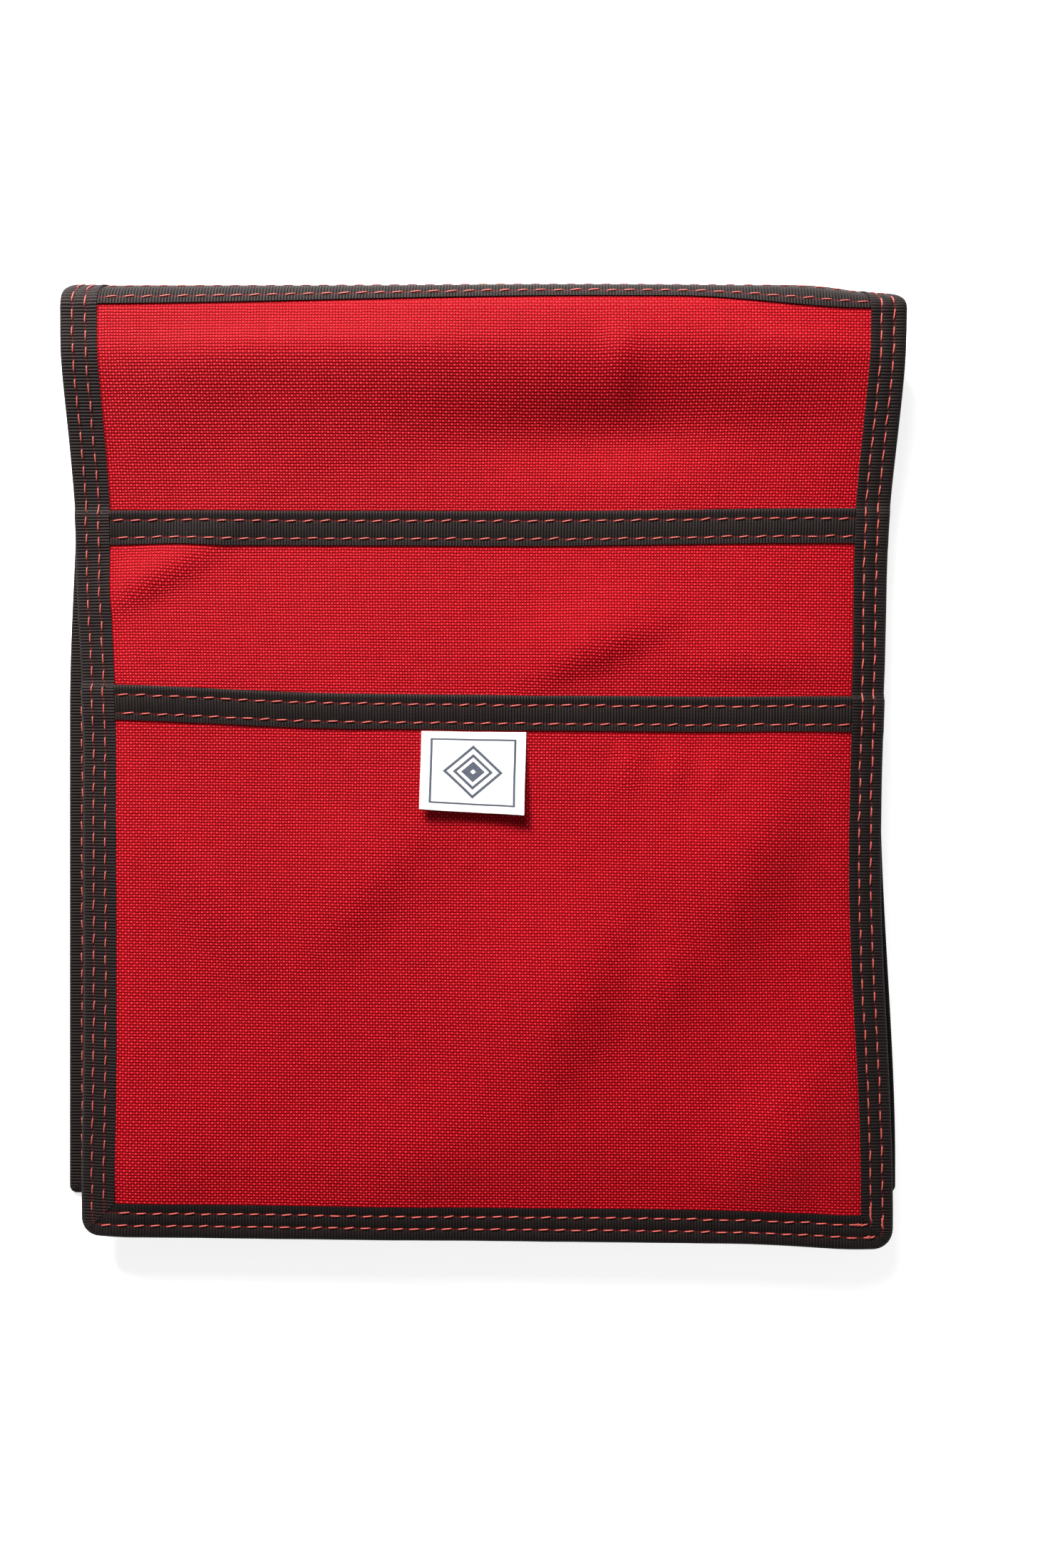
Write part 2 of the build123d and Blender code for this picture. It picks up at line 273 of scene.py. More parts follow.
def edge_cover(x, s):
    """Level of the tape that covers the front leaf's side edges: it steps over each pocket's band."""
    layers = ease((s + 0.0016) / 0.0026)
    bumps = np.zeros_like(s)
    for pocket in (1, 2, 3):
        start = mouth_line(pocket, x)
        if pocket > 1:
            layers = layers + ease((s - start + 0.0012) / 0.0026)
        bumps += ease((s - start + 0.0012) / 0.0026) * (1 - ease((s - start - LAP + 0.0004) / 0.0030))
    near_end = 1 - ease((FRONT_END - s) / 0.030)
    pitch = layer_level(1, np.sign(x) * HALF_WIDTH, s)
    return layers * pitch + TAPE_LEVEL + bumps * (TAPE + SLACK) * (1 - near_end)


# ---- Making meshes ----


def settings():
    """The sizes that the panel shows."""
    return bpy.context.scene.blanket_sizes


def colours():
    """The colours that the panel shows."""
    return bpy.context.scene.blanket_colours


def deselect():
    """Leaves nothing selected, so that the next operator acts on its own object only."""
    for obj in bpy.context.selected_objects:
        obj.select_set(False)


def lay_cloth(name, columns, rows, place, thickness):
    """Adds a grid, lays it out with place and gives it thickness.

    place takes two arrays that run from 0 to 1 and returns the points and their place on the flat cloth.
    """
    deselect()
    bpy.ops.mesh.primitive_grid_add(x_subdivisions=columns, y_subdivisions=rows, size=1.0)
    obj = bpy.context.object
    obj.name = name
    mesh = obj.data
    mesh.name = name
    flat = np.empty(len(mesh.vertices) * 3)
    mesh.vertices.foreach_get("co", flat)
    flat = flat.reshape(-1, 3)
    points, where = place(flat[:, 0] + 0.5, flat[:, 1] + 0.5)
    mesh.vertices.foreach_set("co", points.ravel())
    corners = np.empty(len(mesh.loops), dtype=int)
    mesh.loops.foreach_get("vertex_index", corners)
    mesh.uv_layers.active.data.foreach_set("uv", np.stack(where, axis=-1)[corners].ravel())
    solid = obj.modifiers.new("Thickness", "SOLIDIFY")
    solid.thickness = thickness
    solid.offset = 0.0
    solid.use_even_offset = False
    bpy.ops.object.modifier_apply(modifier=solid.name)
    bpy.ops.object.shade_smooth_by_angle(angle=math.radians(50))
    return obj


def mesh_object(name, points, faces, where):
    """Makes an object from points, faces and the flat place of each point."""
    mesh = bpy.data.meshes.new(name)
    mesh.from_pydata([tuple(p) for p in points], [], faces)
    layer = mesh.uv_layers.new(name="UVMap")
    corners = np.empty(len(mesh.loops), dtype=int)
    mesh.loops.foreach_get("vertex_index", corners)
    layer.data.foreach_set("uv", np.asarray(where)[corners].ravel())
    obj = bpy.data.objects.new(name, mesh)
    bpy.context.scene.collection.objects.link(obj)
    mesh.shade_smooth()
    return obj


WRAP_AT = (0.0, 0.455, 0.475, 0.50, 0.525, 0.545, 1.0)
WRAP_REACH = (1.0, 0.085, 0.024, 0.0, 0.024, 0.085, 1.0)
WRAP_SHARE = (0.0, 0.0, 0.14, 0.5, 0.86, 1.0, 1.0)


def wrap(a, inner, outer, rows):
    """Folds a tape round an edge: the distance from the edge and the level of each point across it.

    The outer face sinks a little along the rows of stitches and rounds off towards the folded edge.
    """
    reach = np.interp(a, WRAP_AT, WRAP_REACH) * LAP
    share = np.interp(a, WRAP_AT, WRAP_SHARE)
    sink = sum(THREAD_SINK * np.exp(-(((reach - row) / 0.0007) ** 2)) for row in rows)
    swell = 0.00007 * np.cos((reach - rows[0]) / (rows[1] - rows[0]) * 2 * math.pi)
    face = (outer - inner) * share + inner
    outside = ease((a - 0.53) / 0.02)
    inside = 1 - ease((a - 0.45) / 0.02)
    return reach, face - (sink + swell) * outside + sink * inside * 0.6


def tape_where(a, reach, along):
    """The flat place of a wrapped tape: minus the reach on the inside, plus the reach on the outside."""
    return np.where(a < 0.5, -reach, reach), along


def row_of_stitches(path, length, pitch, stitch, lean=0.0, start=0.0):
    """The stitches along a path of a length, as the two ends of each and how far each leans."""
    count = int((length - start) / pitch)
    begins = start + (np.arange(count) + 0.12) * pitch
    return path, begins, begins + stitch, lean


def sew(name, rows, seed):
    """Makes rows of stitches: short twisted threads that dive into the tape at both ends.

    Each row is (path, begins, ends, lean), and path(distance, aside, lift) gives points.
    """
    draw = np.random.default_rng(seed)
    rings, sides = 7, 6
    t = np.linspace(-1.0, 1.0, rings)
    radius = settings().thread / 2
    points, where, faces = [], [], []
    base = 0
    for path, begins, ends, lean in rows:
        for begin, end in zip(begins, ends):
            wobble = draw.normal(0.0, 0.00010, 2)
            stretch = draw.normal(1.0, 0.05)
            middle, half = (begin + end) / 2, (end - begin) / 2 * stretch
            distance = middle + half * t
            aside = wobble[0] + (lean + wobble[1]) * t
            lift = radius * (0.55 - 2.6 * t**6)
            centre = path(distance, aside, lift)
            ahead = np.gradient(centre, axis=0)
            ahead /= np.linalg.norm(ahead, axis=1, keepdims=True)
            up = path(distance, aside, lift + 0.0005) - centre
            up /= np.linalg.norm(up, axis=1, keepdims=True)
            beside = np.cross(up, ahead)
            width = radius * (1.0 - 0.35 * t**4)
            for ring in range(rings):
                for side in range(sides):
                    angle = 2 * math.pi * side / sides
                    spread = math.cos(angle) * beside[ring] + 0.85 * math.sin(angle) * up[ring]
                    points.append(centre[ring] + width[ring] * spread)
                    where.append((distance[ring] - middle, side / sides))
            for ring in range(rings - 1):
                low, high = base + ring * sides, base + (ring + 1) * sides
                for side in range(sides):
                    after = (side + 1) % sides
                    faces.append((low + side, low + after, high + after, high + side))
            faces.append(tuple(base + side for side in reversed(range(sides))))
            faces.append(tuple(base + (rings - 1) * sides + side for side in range(sides)))
            base += rings * sides
    return mesh_object(name, points, faces, where)


# ---- Materials ----


class Finish:
    """A material under construction. Its methods add nodes and return their output sockets."""

    def __init__(self, name):
        self.material = bpy.data.materials.new(name)
        self.material.use_nodes = True
        self.tree = self.material.node_tree
        self.shader = self.tree.nodes["Principled BSDF"]

    def feed(self, socket, value):
        """Links a socket to a value, or sets it."""
        if isinstance(value, bpy.types.NodeSocket):
            self.tree.links.new(value, socket)
        else:
            socket.default_value = value

    def calc(self, operation, *values):
        """A sum on one to three values."""
        node = self.tree.nodes.new("ShaderNodeMath")
        node.operation = operation
        for socket, value in zip(node.inputs, values):
            self.feed(socket, value)
        return node.outputs[0]

    def where(self):
        """The two distances on the flat cloth."""
        node = self.tree.nodes.new("ShaderNodeUVMap")
        node.uv_map = "UVMap"
        split = self.tree.nodes.new("ShaderNodeSeparateXYZ")
        self.tree.links.new(node.outputs[0], split.inputs[0])
        return split.outputs[0], split.outputs[1]

    def noise(self, scale, detail=2.0, stretch=None):
        """Noise on the object's own coordinates, or on stretched flat distances."""
        node = self.tree.nodes.new("ShaderNodeTexNoise")
        node.inputs["Scale"].default_value = scale
        node.inputs["Detail"].default_value = detail
        if stretch is None:
            place = self.tree.nodes.new("ShaderNodeTexCoord").outputs["Object"]
        else:
            join = self.tree.nodes.new("ShaderNodeCombineXYZ")
            for socket, value, factor in zip(join.inputs, self.where(), stretch):
                self.feed(socket, self.calc("MULTIPLY", value, factor))
            place = join.outputs[0]
        self.tree.links.new(place, node.inputs["Vector"])
        return node.outputs["Fac"]

    def mix(self, amount, low, high):
        """A colour between two colours."""
        node = self.tree.nodes.new("ShaderNodeMix")
        node.data_type = "RGBA"
        self.feed(node.inputs["Factor"], amount)
        self.feed(node.inputs["A"], low)
        self.feed(node.inputs["B"], high)
        return node.outputs["Result"]

    def span(self, value, low, high, new_low=0.0, new_high=1.0):
        """Maps a value from one range to another, and keeps it inside."""
        node = self.tree.nodes.new("ShaderNodeMapRange")
        for socket, number in zip(node.inputs, (value, low, high, new_low, new_high)):
            self.feed(socket, number)
        return node.outputs[0]

    def bump(self, height, depth):
        """Raises the surface by a height, of a depth in metres."""
        node = self.tree.nodes.new("ShaderNodeBump")
        node.inputs["Distance"].default_value = depth
        self.feed(node.inputs["Height"], height)
        self.tree.links.new(node.outputs[0], self.shader.inputs["Normal"])

    def crown(self, value, power):
        """A rounded ridge over each whole step of a value."""
        sine = self.calc("SINE", self.calc("MULTIPLY", self.calc("FRACT", value), math.pi))
        return self.calc("POWER", sine, power)

    def gloss(self, level, tint):
        """How much the surface mirrors, and the colour of that."""
        self.shader.inputs["Specular IOR Level"].default_value = level
        self.shader.inputs["Specular Tint"].default_value = tint + (1.0,)

    def finish(self, colour, roughness, sheen=0.0, sheen_roughness=0.3):
        """Sets the shader and returns the material."""
        self.feed(self.shader.inputs["Base Color"], colour)
        self.feed(self.shader.inputs["Roughness"], roughness)
        self.shader.inputs["Sheen Weight"].default_value = sheen
        self.shader.inputs["Sheen Roughness"].default_value = sheen_roughness
        return self.material


def rgba(colour, factor=1.0):
    """A colour with alpha, made lighter or darker."""
    return tuple(min(1.0, c * factor) for c in colour) + (1.0,)


def plain_weave(finish, pitch):
    """A plain weave: how much of each point belongs to a crown of the warp and of the weft."""
    calc = finish.calc
    u, v = finish.where()
    sway = calc("SUBTRACT", finish.noise(1.0, 2.0, stretch=(270, 240)), 0.5)
    slip = calc("SUBTRACT", finish.noise(1.0, 2.0, stretch=(210, 290)), 0.5)
    across = calc("MULTIPLY_ADD", sway, 0.42, calc("DIVIDE", u, pitch))
    along = calc("MULTIPLY_ADD", slip, 0.42, calc("DIVIDE", v, pitch))
    cells = calc("ADD", calc("FLOOR", across), calc("FLOOR", along))
    over = calc("FLOORED_MODULO", cells, 2.0)
    dome = calc("MULTIPLY", finish.crown(across, 1.0), finish.crown(along, 1.2))
    warp = calc("MULTIPLY", dome, over)
    weft = calc("MULTIPLY", dome, calc("SUBTRACT", 1.0, over))
    return warp, weft


def red_cloth():
    """Coated plain-woven nylon: the crowns of one set of yarns stand proud, with a painted highlight on their
    tops and painted shade between the yarns.
    """
    finish = Finish("red_cloth")
    calc, mix, span = finish.calc, finish.mix, finish.span
    red = colours().cloth
    warp, weft = plain_weave(finish, settings().weave)
    streaks = finish.noise(1.0, 3.0, stretch=(900, 120))
    cross_streaks = finish.noise(1.0, 3.0, stretch=(120, 900))
    uneven = span(calc("ADD", streaks, cross_streaks), 0.7, 1.3, -0.08, 0.08)
    patches = finish.noise(16.0, 3.0)
    height = calc("MULTIPLY_ADD", weft, 0.45, warp)
    raised = span(calc("ADD", height, uneven), 0.0, 0.5)
    # Painted shade and highlight: darker in the low places between the yarns, lighter on the raised ones.
    painted_yarn_shading = mix(raised, rgba(red, 0.38), rgba(red, 0.98))
    # Painted highlight: the lit tops of the warp crowns are given a salmon-pink colour.
    lit = span(calc("ADD", warp, uneven), 0.58, 1.0, 0.0, 0.85)
    crown = mix(lit, painted_yarn_shading, rgba(colours().crown_highlight))
    shade = mix(span(patches, 0.35, 0.65, 0.0, 0.14), crown, rgba(red, 0.72))
    rough = span(warp, 0.1, 0.9, 0.56, 0.38)
    finish.bump(calc("ADD", height, calc("MULTIPLY", uneven, 0.4)), 0.00034)
    finish.gloss(0.25, (1.0, 0.19, 0.21))
    return finish.finish(shade, rough)


def binding_tape(name, rows):
    """Ribbed tape, with painted highlights on its ribs and painted shade between them. A shallow channel runs
    under each row of stitches, with a dark red line painted in it: thread showing between the stitches, in
    painted shade.
    """
    finish = Finish(name)
    calc, mix, span = finish.calc, finish.mix, finish.span
    across, along = finish.where()
    black = colours().tape
    rib = finish.crown(calc("DIVIDE", along, settings().rib), 0.8)
    yarn = finish.crown(calc("DIVIDE", across, settings().rib * 0.45), 0.8)
    fuzz = finish.noise(1400.0, 2.0)
    drift = finish.noise(1.0, 2.0, stretch=(60, 500))
    height = calc("ADD", calc("MULTIPLY_ADD", yarn, 0.16, rib), calc("MULTIPLY", fuzz, 0.18))
    tone = calc("MULTIPLY_ADD", span(drift, 0.3, 0.7, -0.15, 0.15), 1.0, rib)
    # Painted shade and highlight: dark between the ribs, light on their crowns, with a random drift of tone.
    painted_yarn_shading = mix(span(tone, 0.35, 1.0), rgba(black, 0.25), rgba(black, 1.45))
    for row in rows:
        away = calc("ABSOLUTE", calc("SUBTRACT", calc("ABSOLUTE", across), row))
        near = span(away, 0.00018, 0.00046, 0.62, 0.0)
        # Painted shade: a dark red line along the row, thread showing between the stitches in shadow.
        painted_yarn_shading = mix(near, painted_yarn_shading, rgba(colours().thread_shadow))
    finish.bump(height, 0.00026)
    finish.gloss(0.17, (1.0, 0.86, 0.84))
    return finish.finish(painted_yarn_shading, span(rib, 0.2, 1.0, 0.80, 0.56), sheen=0.03)


def sewing_thread():
    """Bonded twisted thread, with a painted highlight along each ply of the twist and painted shade towards
    both ends of each stitch, where it dives.
    """
    finish = Finish("sewing_thread")
    calc, mix, span = finish.calc, finish.mix, finish.span
    along, around = finish.where()
    ends = span(calc("ABSOLUTE", along), 0.0013, 0.0022)
    twist = calc("ADD", calc("DIVIDE", along, 0.0009), calc("MULTIPLY", around, 2.0))
    ply = finish.crown(twist, 0.8)
    # Painted highlight and shade: lighter on each ply of the twist, darker between the plies.
    lit = mix(span(ply, 0.2, 1.0), rgba(colours().thread, 0.66), rgba(colours().thread, 1.2))
    finish.bump(ply, 0.00009)
    # Painted shade: darker towards both ends of each stitch, where it dives into the tape.
    return finish.finish(mix(ends, lit, rgba(colours().thread_shadow, 1.6)), 0.42, sheen=0.15)


def glass_cloth():
    """Satin-woven glass fibre: off-white, with a soft shine along the yarns, helped by a painted highlight on
    their tops and painted shade between them.
    """
    finish = Finish("glass_cloth")
    calc, mix, span = finish.calc, finish.mix, finish.span
    across, along = finish.where()
    base = colours().glass
    step = calc("MULTIPLY", calc("FLOOR", calc("DIVIDE", across, 0.0011)), 0.35)
    slubs = finish.crown(calc("ADD", calc("DIVIDE", along, 0.0022), step), 0.5)
    yarns = finish.crown(calc("DIVIDE", across, 0.0011), 0.6)
    height = calc("MULTIPLY", slubs, yarns)
    patches = finish.noise(24.0, 4.0)
    # Painted shade and highlight: darker between the yarns, lighter on their tops.
    painted_yarn_shading = mix(span(height, 0.1, 0.9), rgba(base, 0.66), rgba(base, 1.1))
    aged = mix(span(patches, 0.4, 0.7, 0.0, 0.25), painted_yarn_shading, rgba(base, 0.86))
    finish.bump(height, 0.00012)
    return finish.finish(aged, span(height, 0.0, 1.0, 0.62, 0.38), sheen=0.2)


def pull_webbing():
    """Dense black webbing with a herringbone of coarse yarns."""
    finish = Finish("pull_webbing")
    calc, mix, span = finish.calc, finish.mix, finish.span
    across, along = finish.where()
    black = colours().tape
    zigzag = calc("PINGPONG", calc("DIVIDE", across, 0.0031), 1.0)
    weave = finish.crown(calc("ADD", calc("DIVIDE", along, 0.0015), zigzag), 0.7)
    yarns = finish.crown(calc("DIVIDE", across, 0.0009), 0.7)
    height = calc("MULTIPLY", weave, yarns)
    fuzz = finish.noise(900.0, 2.0)
    # Painted shade and highlight: darker between the yarns, lighter on their tops.
    painted_yarn_shading = mix(span(height, 0.1, 0.9), rgba(black, 0.5), rgba(black, 2.8))
    worn = mix(span(fuzz, 0.55, 0.75, 0.0, 0.2), painted_yarn_shading, rgba(black, 4.0))
    finish.bump(height, 0.00030)
    return finish.finish(worn, 0.62, sheen=0.1)


def woven_label():
    """White damask label with a plain woven border and three nested diamonds."""
    finish = Finish("woven_label")
    calc, mix, span = finish.calc, finish.mix, finish.span
    across, along = finish.where()
    u = calc("DIVIDE", across, 0.5)
    v = calc("DIVIDE", along, 0.5)
    edge = calc("MAXIMUM", calc("ABSOLUTE", u), calc("ABSOLUTE", v))
    border = calc("COMPARE", edge, 0.80, 0.022)
    spread = calc("ADD", calc("MULTIPLY", calc("ABSOLUTE", u), 1.15), calc("ABSOLUTE", v))
    diamond = calc("COMPARE", spread, 0.16, 0.10)
    for size in (0.40, 0.62):
        diamond = calc("MAXIMUM", diamond, calc("COMPARE", spread, size, 0.045))
    mark = calc("MAXIMUM", diamond, border)
    fine = finish.crown(calc("MULTIPLY", along, 92.0), 0.8)
    fill = finish.crown(calc("MULTIPLY", across, 150.0), 0.8)
    height = calc("ADD", fine, calc("MULTIPLY", fill, 0.5))
    raised = span(height, 0.3, 1.4)
    # Painted shade and highlight: the white ground and the mark are darker between the yarns, lighter on
    # their tops.
    white = mix(raised, rgba(colours().label, 0.86), rgba(colours().label, 1.04))
    dark = mix(raised, rgba(colours().mark, 0.6), rgba(colours().mark))
    woven = mix(mark, white, dark)
    finish.bump(calc("ADD", height, calc("MULTIPLY", mark, 0.8)), 0.00006)
    return finish.finish(woven, 0.48, sheen=0.2)


FINISHES = {}


def dress(obj, finish, body=None, replaces=()):
    """Gives a piece its finish, the body it rides on and the CAD nodes it stands for."""
    if finish not in FINISHES:
        makers = {
            "red_cloth": red_cloth,
            "edge_tape": lambda: binding_tape("edge_tape", EDGE_ROWS),
            "band_tape": lambda: binding_tape("band_tape", BAND_ROWS),
            "sewing_thread": sewing_thread,
            "glass_cloth": glass_cloth,
            "pull_webbing": pull_webbing,
            "woven_label": woven_label,
        }
        FINISHES[finish] = makers[finish]()
    obj.data.materials.clear()
    obj.data.materials.append(FINISHES[finish])
    if replaces:
        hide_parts(*replaces)
    if body:
        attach(obj, body)
    else:
        bend_over_fold(obj)


def bend_over_fold(obj):
    """Bakes the piece's place into its mesh. It rides on no body.
    """
    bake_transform(obj)


# ---- Operators: the carrier ----


class BLANKET_OT_base_sheet(Operator):
    """Lay the long base cloth: the front leaf with the fold, and the back leaf"""

    bl_idname = "blanket.base_sheet"
    bl_label = "Base sheet"

    def execute(self, context):
        edge = HALF_WIDTH - TAPE

        def front(a, b):
            x = (2 * a - 1) * edge
            s = BACK_SEAM + b * (FRONT_END - TAPE - BACK_SEAM)
            return carrier(x, s, 0.0), (x, s)

        def back(a, b):
            x = (2 * a - 1) * edge
            s = BACK_END + TAPE + b * (BACK_SEAM - BACK_END - TAPE)
            return carrier(x, s, 0.0), (x, s)

        leaf = lay_cloth("front_panel_cloth", 110, 190, front, CLOTH)
        dress(leaf, "red_cloth", replaces=["front_panel"])
        back_cloth = lay_cloth("back_panel_cloth", 90, 80, back, CLOTH)
        dress(back_cloth, "red_cloth", BODY_BACK, ["back_panel"])
        return {"FINISHED"}


class BLANKET_OT_pockets(Operator):
    """Lay the three nested pocket panels on the front leaf"""

    bl_idname = "blanket.pockets"
    bl_label = "Pocket panels"

    def execute(self, context):
        edge = HALF_WIDTH - TAPE
        for pocket, name in enumerate(("deep", "middle", "short"), start=1):

            def panel(a, b, pocket=pocket):
                x = (2 * a - 1) * edge
                top = mouth_line(pocket, x) + TAPE
                s = top + b * (FRONT_END - TAPE - top)
                return carrier(x, s, layer_level(pocket, x, s)), (x + 0.0004 * pocket, s)

            length = FRONT_END - MOUTHS[pocket - 1]
            cloth = lay_cloth(f"{name}_pocket_cloth", 120, int(length / 0.0026), panel, CLOTH)
            body = None if pocket == 1 else BODY_FRONT
            dress(cloth, "red_cloth", body, [f"{name}_pocket_panel"])
        return {"FINISHED"}


class BLANKET_OT_pocket_bands(Operator):
    """Fold a tape over each pocket's mouth"""

    bl_idname = "blanket.pocket_bands"
    bl_label = "Pocket bands"

    def execute(self, context):
        edge = HALF_WIDTH - 1.5 * TAPE
        for pocket, name in enumerate(("deep", "middle", "short"), start=1):

            def band(a, b, pocket=pocket):
                x = (2 * b - 1) * edge
                reach, level = wrap(a, -TAPE_LEVEL, TAPE_LEVEL, BAND_ROWS)
                s = mouth_line(pocket, x) + band_reach(pocket, reach)
                return carrier(x, s, layer_level(pocket, x, s) + level), tape_where(a, reach, x)

            tape = lay_cloth(f"{name}_pocket_tape", 72, 150, band, TAPE)
            body = None if pocket == 1 else BODY_FRONT
            dress(tape, "band_tape", body, [f"{name}_pocket_band"])
        return {"FINISHED"}


class BLANKET_OT_front_bindings(Operator):
    """Fold tape over the front leaf's sides and low end, with mitred corners"""

    bl_idname = "blanket.front_bindings"
    bl_label = "Front bindings"

    def execute(self, context):
        for side, name in ((-1, "left"), (1, "right")):

            def along_side(a, b, side=side):
                reach, _ = wrap(a, 0.0, 1.0, EDGE_ROWS)
                reach = reach * (SIDE_LAPS[side > 0] / LAP)
                x = side * (HALF_WIDTH - reach)
                lap_over = 0.0007 * ease((reach - 0.001) / 0.004)
                s = BACK_SEAM + b * (FRONT_END - reach + lap_over - BACK_SEAM)
                raised = 0.00012 * ease((s - FRONT_END + 0.020) / 0.008) * np.where(a > 0.5, 1.0, -1.0)
                _, level = wrap(a, -TAPE_LEVEL, edge_cover(x, s), EDGE_ROWS)
                return carrier(x, s, level + raised), tape_where(a, reach, s)

            tape = lay_cloth(f"front_{name}_tape", 72, 300, along_side, TAPE)
            dress(tape, "edge_tape", None, [f"front_{name}_binding"])

        def along_end(a, b):
            reach, _ = wrap(a, 0.0, 1.0, EDGE_ROWS)
            x = (2 * b - 1) * (HALF_WIDTH - reach)
            s = FRONT_END - reach
            _, level = wrap(a, -TAPE_LEVEL, edge_cover(x, s), EDGE_ROWS)
            return carrier(x, s, level), tape_where(a, reach, x)

        tape = lay_cloth("front_bottom_tape", 72, 170, along_end, TAPE)
        dress(tape, "edge_tape", BODY_FRONT, ["front_bottom_binding"])
        return {"FINISHED"}


class BLANKET_OT_back_bindings(Operator):
    """Fold tape over the back leaf's sides and low end"""

    bl_idname = "blanket.back_bindings"
    bl_label = "Back bindings"

    def execute(self, context):
        for side, name in ((-1, "left"), (1, "right")):

            def along_side(a, b, side=side):
                reach, level = wrap(a, -TAPE_LEVEL, TAPE_LEVEL, EDGE_ROWS)
                x = side * (HALF_WIDTH - reach)
                s = BACK_SEAM + b * (BACK_END + reach - BACK_SEAM)
                return carrier(x, s, level), tape_where(a, reach, s)

            tape = lay_cloth(f"back_{name}_tape", 60, 150, along_side, TAPE)
            dress(tape, "edge_tape", BODY_BACK, [f"back_{name}_binding"])

        def along_end(a, b):
            reach, level = wrap(a, -TAPE_LEVEL, TAPE_LEVEL, EDGE_ROWS)
            x = (2 * b - 1) * (HALF_WIDTH - reach)
            return carrier(x, BACK_END + reach, level), tape_where(a, reach, x)

        tape = lay_cloth("back_bottom_tape", 60, 150, along_end, TAPE)
        dress(tape, "edge_tape", BODY_BACK, ["back_bottom_binding"])
        return {"FINISHED"}


class BLANKET_OT_stitches(Operator):
    """Sew the two rows of stitches along every tape of the carrier"""

    bl_idname = "blanket.stitches"
    bl_label = "Carrier stitches"

    def execute(self, context):
        pitch = settings().stitch_pitch
        long = settings().stitch
        front, back = 1, -1

        def on_tape(x, s, leaf, lift):
            """Points on the outside of a leaf's edge tape."""
            x, s = np.broadcast_arrays(x, s)
            cover = edge_cover(x, s) if leaf == front else TAPE_LEVEL
            return carrier(x, s, leaf * (cover + SEWN + lift))

        def side_path(side, row, leaf):
            """The path of a row along a side, from the seam to the row along the low end, and its length."""
            start, end = (BACK_SEAM + 0.002, FRONT_END) if leaf == front else (BACK_SEAM - 0.001, BACK_END)

            def path(distance, aside, lift):
                return on_tape(side * (HALF_WIDTH - row - aside), start + leaf * distance, leaf, lift)

            return path, abs(end - BACK_SEAM) - row - 0.002

        def end_path(row, leaf):
            """The path of a row along a low end, and its length."""
            end = FRONT_END if leaf == front else BACK_END

            def path(distance, aside, lift):
                return on_tape(distance - (HALF_WIDTH - row), end - leaf * (row + aside), leaf, lift)

            return path, 2 * (HALF_WIDTH - row)

        rows = []
        for row in EDGE_ROWS:
            for side in (-1, 1):
                path, length = side_path(side, row, front)
                rows.append(row_of_stitches(path, length, pitch * 0.95, long * 0.95, 0.00010 * side, row / 3))
            path, length = end_path(row, front)
            rows.append(row_of_stitches(path, length, pitch * 0.94, long * 0.94, 0.00022, row / 2))
        for row, starts in zip(EDGE_ROWS, ((0.0030, 0.0042, 0.0050), (0.0012, 0.0021, 0.0034, 0.0045))):
            tacks = ((end_path(row, front), 0.0026, 0.0005), (side_path(1, row, front), 0.0028, -0.0004))
            for (path, length), tack, lean in tacks:
                begins = length - np.array(starts) - 0.0022
                rows.append((path, begins, begins + tack, lean))
        edge = sew("front_binding_thread", rows, 5)
        dress(edge, "sewing_thread", None, ["front_binding_stitches"])

        def band_row(pocket, row):
            def path(distance, aside, lift):
                x = -(HALF_WIDTH - LAP) + distance
                s = mouth_line(pocket, x) + band_reach(pocket, row - aside)
                return carrier(x, s, layer_level(pocket, x, s) + TAPE_LEVEL + SEWN + lift)

            return row_of_stitches(path, 2 * (HALF_WIDTH - LAP), pitch, long, 0.00030, row / 4)

        crest = sew("crest_band_thread", [band_row(1, row) for row in BAND_ROWS], 6)
        dress(crest, "sewing_thread", None, ["band_stitches"])
        lower = sew("lower_band_thread", [band_row(p, row) for p in (2, 3) for row in BAND_ROWS], 7)
        dress(lower, "sewing_thread", BODY_FRONT, ["band_stitches"])

        rows = []
        for row in EDGE_ROWS:
            for side in (-1, 1):
                path, length = side_path(side, row, back)
                rows.append(row_of_stitches(path, length, pitch * 0.95, long * 0.95, 0.0001))
            path, length = end_path(row, back)
            rows.append(row_of_stitches(path, length, pitch, long, 0.0002, row / 2))
        under = sew("back_binding_thread", rows, 8)
        dress(under, "sewing_thread", BODY_BACK, ["back_binding_stitches"])
        return {"FINISHED"}


class BLANKET_OT_label(Operator):
    """Hang the woven label from under the lowest band"""

    bl_idname = "blanket.label"
    bl_label = "Label"

    def execute(self, context):
        low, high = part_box("label")
        wide, long = high[0] - low[0], high[1] - low[1]
        thickness = 0.0003
        middle = (low[0] + high[0]) / 2
        lift_room = 0.00060
        tilt = math.radians(0.9)
        top = QUARTER + FOLD_Y - high[1] + lift_room

        def panel(a, b):
            flat_x, flat_s = (a - 0.5) * wide, b * long
            x = middle + flat_x * math.cos(tilt) - flat_s * math.sin(tilt)
            s = top + flat_s * math.cos(tilt) + (flat_x * math.sin(tilt) + 0.0006 * (2 * a - 1)) * b
            rest = layer_level(3, x, s) + CLOTH / 2 + thickness / 2 + 0.0001
            curl = 0.0016 * ease(b) + 0.0007 * (2 * a - 1) ** 2 * b + 0.0005 * a * b
            return carrier(x, s, rest + curl), (a - 0.5, 0.5 - b)

        piece = lay_cloth("label_cloth", 34, 26, panel, thickness)
        dress(piece, "woven_label", "label", ["label"])
        return {"FINISHED"}


# ---- Operators: the sleeve and the blanket ----


